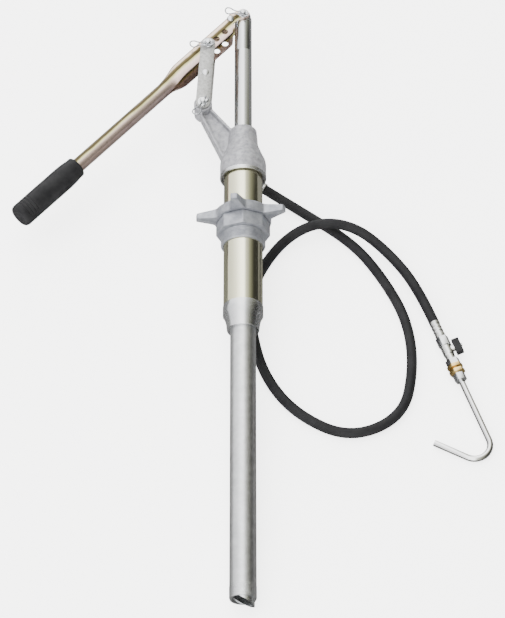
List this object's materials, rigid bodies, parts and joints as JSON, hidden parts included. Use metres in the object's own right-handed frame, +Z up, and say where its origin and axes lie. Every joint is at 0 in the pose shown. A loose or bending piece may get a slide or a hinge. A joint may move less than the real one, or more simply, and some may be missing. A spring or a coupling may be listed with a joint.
{
  "type": "gear oil pump",
  "caption": "Lever-action hand pump for gear oil with a suction pipe, sliding bung collar, linked lever and a delivery hose ending in a ball valve and curved nozzle.",
  "frame": {"origin": "centre of the bounding box at floor level, leaving out the hose and what hangs on it", "axes": "+Y up the pump from suction end to rod end, +X the hose side, +Z up from the floor"},
  "size_m": [0.6295, 0.9024, 0.1209],
  "materials": {
    "galvanised_steel": "mottled galvanised pipe",
    "bare_steel": "turned bare steel",
    "zinc_plated": "bright zinc plate",
    "bright_barrel": "polished plated tube",
    "cast_aluminium": "as cast, fine grain",
    "piston_aluminium": "turned",
    "cast_zinc": "as cast zinc grey",
    "passivated_steel": "yellow passivated pressed steel",
    "link_steel": "speckled zinc plate",
    "black_rubber": "satin black",
    "seal_rubber": "moulded nitrile",
    "seat_plastic": "turned white plastic",
    "ferrule_steel": "crimped plated ferrule",
    "valve_chrome": "satin chrome",
    "nozzle_chrome": "bright chrome",
    "brass": "turned",
    "knob_plastic": "black"
  },
  "bodies": {
    "pump_body": {"suction_pipe": "galvanised_steel", "inlet_tube": "bare_steel", "foot_valve_housing": "zinc_plated", "foot_valve_seat": "bare_steel", "foot_valve_stop_pin": "bare_steel", "barrel_lower_seal": "seal_rubber", "barrel_tube": "bright_barrel", "barrel_gasket": "seal_rubber", "head_casting": "cast_aluminium", "rod_guide_bush": "bare_steel", "rod_seal": "seal_rubber", "rod_wiper_ring": "seal_rubber", "outlet_elbow": "zinc_plated", "hose_ferrule_pump_end": "ferrule_steel", "hose": "black_rubber", "hose_ferrule_valve_end": "ferrule_steel", "hose_swivel_nut": "zinc_plated", "ball_valve_body": "valve_chrome", "valve_seats": "seat_plastic", "brass_adapter": "brass", "brass_locknut": "brass", "nozzle_nut": "zinc_plated", "nozzle_tube": "nozzle_chrome"},
    "piston_rod": {"rod_tube": "bright_barrel", "rod_eye_plug": "bare_steel", "piston_body": "piston_aluminium", "piston_seals": "seal_rubber"},
    "piston_valve": {"piston_valve_ball": "bare_steel"},
    "foot_valve": {"foot_valve_ball": "bare_steel"},
    "lever": {"lever_arm": "passivated_steel", "lever_grip": "black_rubber", "lever_spacer_rivet": "zinc_plated", "rod_pivot_pin": "zinc_plated", "rod_pivot_washer": "zinc_plated", "rod_pivot_clip": "zinc_plated"},
    "link": {"link_plate_front": "link_steel", "link_plate_rear": "link_steel", "link_rivet": "zinc_plated", "lever_link_pin": "zinc_plated", "lever_link_washer": "zinc_plated", "lever_link_clip": "zinc_plated", "bracket_pin": "zinc_plated", "bracket_washer": "zinc_plated", "bracket_clip": "zinc_plated"},
    "bung_seal": {"bung_seal_ring": "black_rubber"},
    "bung_bushing": {"bung_bushing": "cast_zinc"},
    "star_nut": {"star_nut": "cast_zinc"},
    "valve_handle": {"valve_ball": "valve_chrome", "valve_stem": "valve_chrome", "valve_knob": "knob_plastic", "knob_screw": "zinc_plated"}
  },
  "joints": [
    {"name": "rod_stroke", "type": "slide", "parent": "pump_body", "child": "piston_rod", "axis": [0, -0.9971, -0.0754], "range_m": [0, 0.05]},
    {"name": "lever_swing", "type": "hinge", "parent": "piston_rod", "child": "lever", "pos_m": [0.12663, 0.43933, 0.08371], "axis": [0, -0.0754, 0.9971], "range_deg": [-44.5, 0]},
    {"name": "link_swing", "type": "hinge", "parent": "lever", "child": "link", "pos_m": [0.07784, 0.38586, 0.07966], "axis": [0, -0.0754, 0.9971], "range_deg": [0, 60.3]},
    {"name": "piston_valve_lift", "type": "slide", "parent": "piston_rod", "child": "piston_valve", "axis": [0, 0.9971, 0.0754], "range_m": [0, 0.013]},
    {"name": "foot_valve_lift", "type": "slide", "parent": "pump_body", "child": "foot_valve", "axis": [0, 0.9971, 0.0754], "range_m": [0, 0.009]},
    {"name": "bung_slide", "type": "slide", "parent": "pump_body", "child": "bung_seal", "axis": [0, 0.9971, 0.0754], "range_m": [0, 0.045]},
    {"name": "bung_turn", "type": "hinge", "parent": "bung_seal", "child": "bung_bushing", "pos_m": [0.12663, 0.08733, 0.05708], "axis": [0, 0.9971, 0.0754], "continuous": true},
    {"name": "star_nut_turn", "type": "hinge", "parent": "bung_bushing", "child": "star_nut", "pos_m": [0.12663, 0.10727, 0.05858], "axis": [0, 0.9971, 0.0754], "range_deg": [0, 150]},
    {"name": "valve_turn", "type": "hinge", "parent": "pump_body", "child": "valve_handle", "pos_m": [0.3939, -0.07269, 0.01085], "axis": [0.925, 0.3181, 0.2078], "range_deg": [0, 90]}
  ],
  "couplings": [
    {"joint": "lever_swing", "follows": "rod_stroke", "rad_per_m": -15.445},
    {"joint": "link_swing", "follows": "rod_stroke", "rad_per_m": 20.95}
  ]
}
